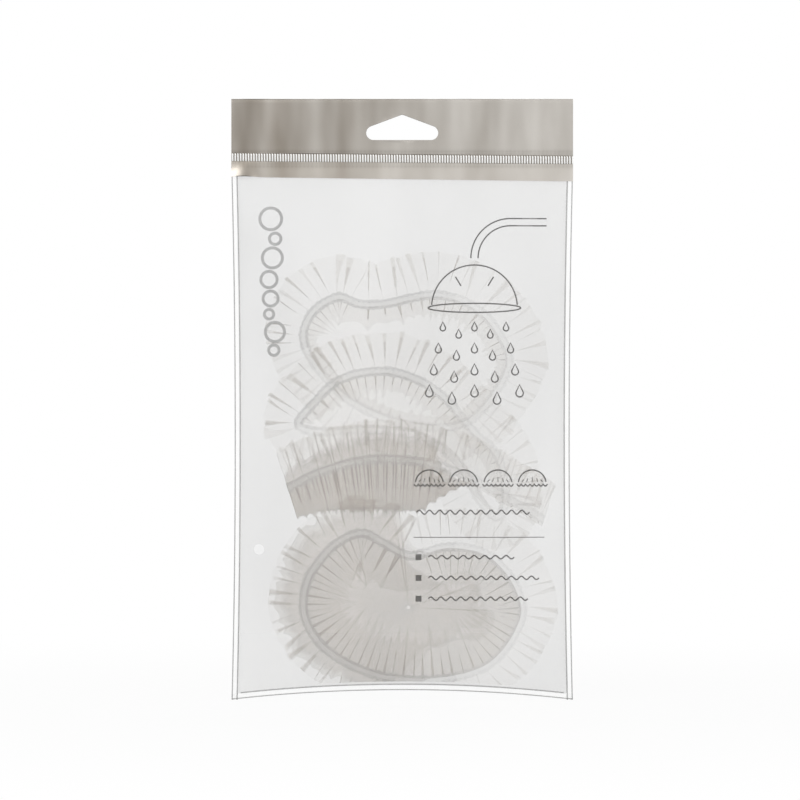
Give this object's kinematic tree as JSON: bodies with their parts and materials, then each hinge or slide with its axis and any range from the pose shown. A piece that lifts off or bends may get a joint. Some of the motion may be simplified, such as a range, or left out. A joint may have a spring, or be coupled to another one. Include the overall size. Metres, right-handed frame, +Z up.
{
  "type": "shower cap pack",
  "caption": "Hang pack of gathered clear film shower caps in a frosted film bag with a folded silver header, ribbed seal and delta hang slot.",
  "frame": {"origin": "peak of the hang slot, half way through the header, where a peg carries the pack", "axes": "+Z up along the hanging pack, +X to the right seen from the front, +Y towards the back"},
  "size_m": [0.1518, 0.013, 0.2671],
  "materials": {
    "metallised_film": "metallised satin",
    "bag_film": "frosted, see-through",
    "weld_film": "fused, nearly white",
    "cap_film": "clear, hazy where gathered",
    "casing_film": "clear film welded in two rows",
    "elastic": "matt"
  },
  "bodies": {
    "header": {"header_strip": "metallised_film", "ribbed_seal": "metallised_film", "bag_neck": "bag_film"},
    "lip": {"header_lip": "metallised_film"},
    "bag": {"front_panel": "bag_film", "back_panel": "bag_film", "left_side_weld": "weld_film", "right_side_weld": "weld_film", "bottom_weld": "weld_film"},
    "cap_1": {"cap_1_film": "cap_film", "cap_1_casing": "casing_film", "cap_1_elastic": "elastic"},
    "cap_2": {"cap_2_film": "cap_film", "cap_2_casing": "casing_film", "cap_2_elastic": "elastic"},
    "cap_3": {"cap_3_film": "cap_film", "cap_3_casing": "casing_film", "cap_3_elastic": "elastic"},
    "cap_4": {"cap_4_film": "cap_film", "cap_4_casing": "casing_film", "cap_4_elastic": "elastic"}
  },
  "joints": [
    {"name": "lip_lift", "type": "hinge", "parent": "header", "child": "lip", "pos_m": [0, -0.001, -0.02155], "axis": [-1, 0, 0], "range_deg": [0, 150]},
    {"name": "bag_fold", "type": "hinge", "parent": "header", "child": "bag", "pos_m": [0, -0.001, -0.02885], "axis": [-1, 0, 0], "range_deg": [0, 120]},
    {"name": "cap_1_slide", "type": "slide", "parent": "bag", "child": "cap_1", "axis": [0, 0, 1], "range_m": [0, 0.014]},
    {"name": "cap_2_slide", "type": "slide", "parent": "bag", "child": "cap_2", "axis": [0, 0, 1], "range_m": [0, 0.062]},
    {"name": "cap_3_slide", "type": "slide", "parent": "bag", "child": "cap_3", "axis": [0, 0, 1], "range_m": [0, 0.086]},
    {"name": "cap_4_slide", "type": "slide", "parent": "bag", "child": "cap_4", "axis": [0, 0, 1], "range_m": [0, 0.13]}
  ]
}
